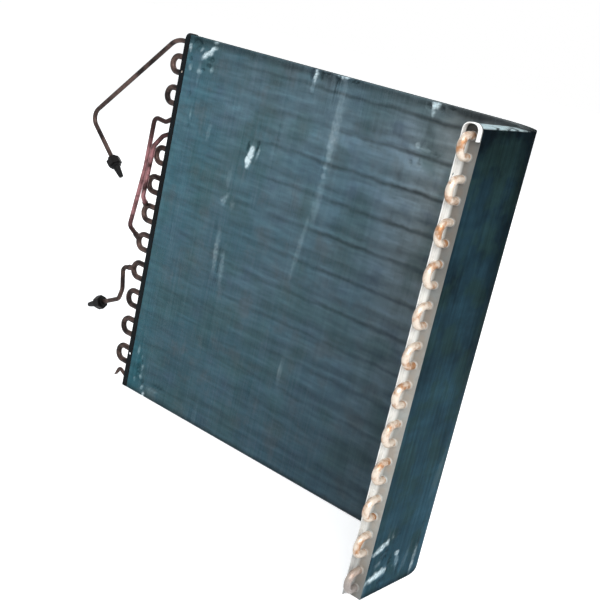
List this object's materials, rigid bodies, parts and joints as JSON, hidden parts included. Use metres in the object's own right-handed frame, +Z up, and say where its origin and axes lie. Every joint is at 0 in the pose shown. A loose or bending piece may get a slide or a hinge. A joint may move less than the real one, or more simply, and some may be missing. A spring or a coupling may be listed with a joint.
{
  "type": "condenser coil",
  "caption": "L-shaped finned condenser coil: copper hairpin tubes in a stack of thin fins between two folded end plates, with bent line pipes closed by flare nuts and plugs.",
  "frame": {"origin": "at the foot of the finned slab, on the plane of the tube centres, where the fins of the long leg begin at the left end plate", "axes": "+X along the long leg towards the bend, +Y out of the back of the L, +Z up along the fins"},
  "size_m": [0.8613, 0.2226, 0.6116],
  "materials": {
    "fin_stock": "coated, dull",
    "galvanised_plate": "galvanised, stained",
    "dark_plate": "darkened, dull",
    "bright_copper": "bright drawn copper, heat marked",
    "tarnished_copper": "tarnished copper",
    "blackened_nut": "blackened brass",
    "black_plug": "moulded, dull"
  },
  "bodies": {
    "root": {"fins_long_leg": "fin_stock", "fins_bend": "fin_stock", "fins_short_leg": "fin_stock", "left_end_plate": "dark_plate", "right_end_plate": "galvanised_plate", "hairpin_01": "bright_copper", "hairpin_02": "bright_copper", "hairpin_03": "bright_copper", "hairpin_04": "bright_copper", "hairpin_05": "bright_copper", "hairpin_06": "bright_copper", "hairpin_07": "bright_copper", "hairpin_08": "bright_copper", "hairpin_09": "bright_copper", "hairpin_10": "bright_copper", "hairpin_11": "bright_copper", "hairpin_12": "bright_copper", "return_bend_01": "tarnished_copper", "return_bend_02": "tarnished_copper", "return_bend_03": "tarnished_copper", "return_bend_04": "tarnished_copper", "return_bend_05": "tarnished_copper", "return_bend_06": "tarnished_copper", "return_bend_07": "tarnished_copper", "return_bend_08": "tarnished_copper", "return_bend_09": "tarnished_copper", "return_bend_10": "tarnished_copper", "inlet_pipe": "tarnished_copper", "outlet_pipe": "tarnished_copper", "jumper_pipe": "tarnished_copper", "bypass_pipe": "tarnished_copper", "charging_stub": "tarnished_copper", "inlet_flare_nut": "blackened_nut", "outlet_flare_nut": "blackened_nut", "inlet_sealing_plug": "black_plug", "outlet_sealing_plug": "black_plug"}
  },
  "joints": []
}
